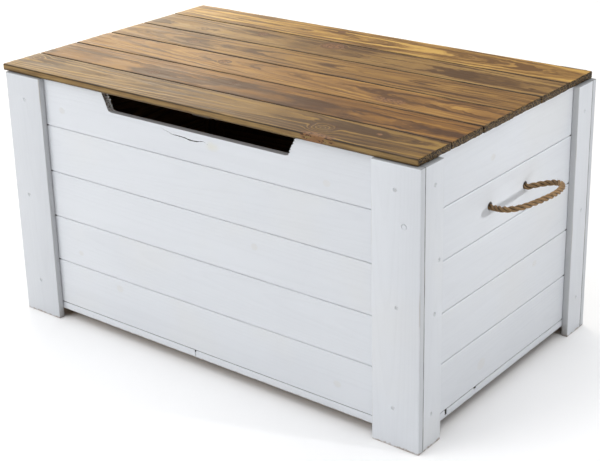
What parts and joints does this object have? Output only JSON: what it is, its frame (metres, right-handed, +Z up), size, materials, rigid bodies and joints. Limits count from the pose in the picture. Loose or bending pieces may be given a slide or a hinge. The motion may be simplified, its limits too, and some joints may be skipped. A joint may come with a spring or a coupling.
{
  "type": "storage bench",
  "caption": "Low painted wooden storage chest used as a bench, with a stained plank lid hinged at the rear, a hand slot under the lid and a rope handle on each side.",
  "frame": {"origin": "on the floor under the middle of the bench's box, measured without its rope handles", "axes": "+X along the length to the right of someone facing the front, +Y from the front to the hinged rear, +Z up"},
  "size_m": [1.0458, 0.5552, 0.4853],
  "materials": {
    "white_paint": "matt white paint on pine, the grain showing through",
    "stained_pine": "brown stained pine, satin, with knots",
    "raw_pine": "planed bare pine",
    "plywood": "sanded bare plywood",
    "zinc_steel": "zinc plated",
    "jute": "laid natural jute rope"
  },
  "bodies": {
    "chest": {"front_left_post_front_board": "white_paint", "front_left_post_side_board": "white_paint", "rear_left_post_rear_board": "white_paint", "rear_left_post_side_board": "white_paint", "front_right_post_front_board": "white_paint", "front_right_post_side_board": "white_paint", "rear_right_post_rear_board": "white_paint", "rear_right_post_side_board": "white_paint", "front_bottom_strip": "white_paint", "front_board_1": "white_paint", "front_board_2": "white_paint", "front_board_3": "white_paint", "front_board_4": "white_paint", "front_board_5": "white_paint", "rear_bottom_strip": "white_paint", "rear_board_1": "white_paint", "rear_board_2": "white_paint", "rear_board_3": "white_paint", "rear_board_4": "white_paint", "rear_board_5": "white_paint", "left_side_bottom_strip": "white_paint", "left_side_board_1": "white_paint", "left_side_board_2": "white_paint", "left_side_board_3": "white_paint", "left_side_board_4": "white_paint", "left_side_board_5": "white_paint", "right_side_bottom_strip": "white_paint", "right_side_board_1": "white_paint", "right_side_board_2": "white_paint", "right_side_board_3": "white_paint", "right_side_board_4": "white_paint", "right_side_board_5": "white_paint", "corner_batten_front_left": "raw_pine", "corner_batten_rear_left": "raw_pine", "corner_batten_front_right": "raw_pine", "corner_batten_rear_right": "raw_pine", "floor_panel": "plywood", "floor_cleat_front": "raw_pine", "floor_cleat_rear": "raw_pine", "hinge_left_box_leaf": "zinc_steel", "hinge_right_box_leaf": "zinc_steel", "hinge_left_pin": "zinc_steel", "hinge_right_pin": "zinc_steel", "handle_left_front_knot": "jute", "handle_left_rear_knot": "jute", "handle_right_front_knot": "jute", "handle_right_rear_knot": "jute"},
    "lid": {"lid_plank_1": "stained_pine", "lid_plank_2": "stained_pine", "lid_plank_3": "stained_pine", "lid_plank_4": "stained_pine", "lid_plank_5": "stained_pine", "lid_plank_6": "stained_pine", "lid_batten_left": "stained_pine", "lid_batten_middle": "stained_pine", "lid_batten_right": "stained_pine", "hinge_left_lid_leaf": "zinc_steel", "hinge_right_lid_leaf": "zinc_steel"},
    "handle_left": {"handle_left_rope": "jute"},
    "handle_right": {"handle_right_rope": "jute"}
  },
  "joints": [
    {"name": "lid_hinge", "type": "hinge", "parent": "chest", "child": "lid", "pos_m": [0.006, 0.27515, 0.47315], "axis": [-1, 0, 0], "range_deg": [0, 105]},
    {"name": "handle_left_swing", "type": "hinge", "parent": "chest", "child": "handle_left", "pos_m": [-0.437, -0.00265, 0.3407], "axis": [0, 1, 0], "range_deg": [-100, 70]},
    {"name": "handle_right_swing", "type": "hinge", "parent": "chest", "child": "handle_right", "pos_m": [0.449, -0.00265, 0.3407], "axis": [0, -1, 0], "range_deg": [-100, 70]}
  ]
}
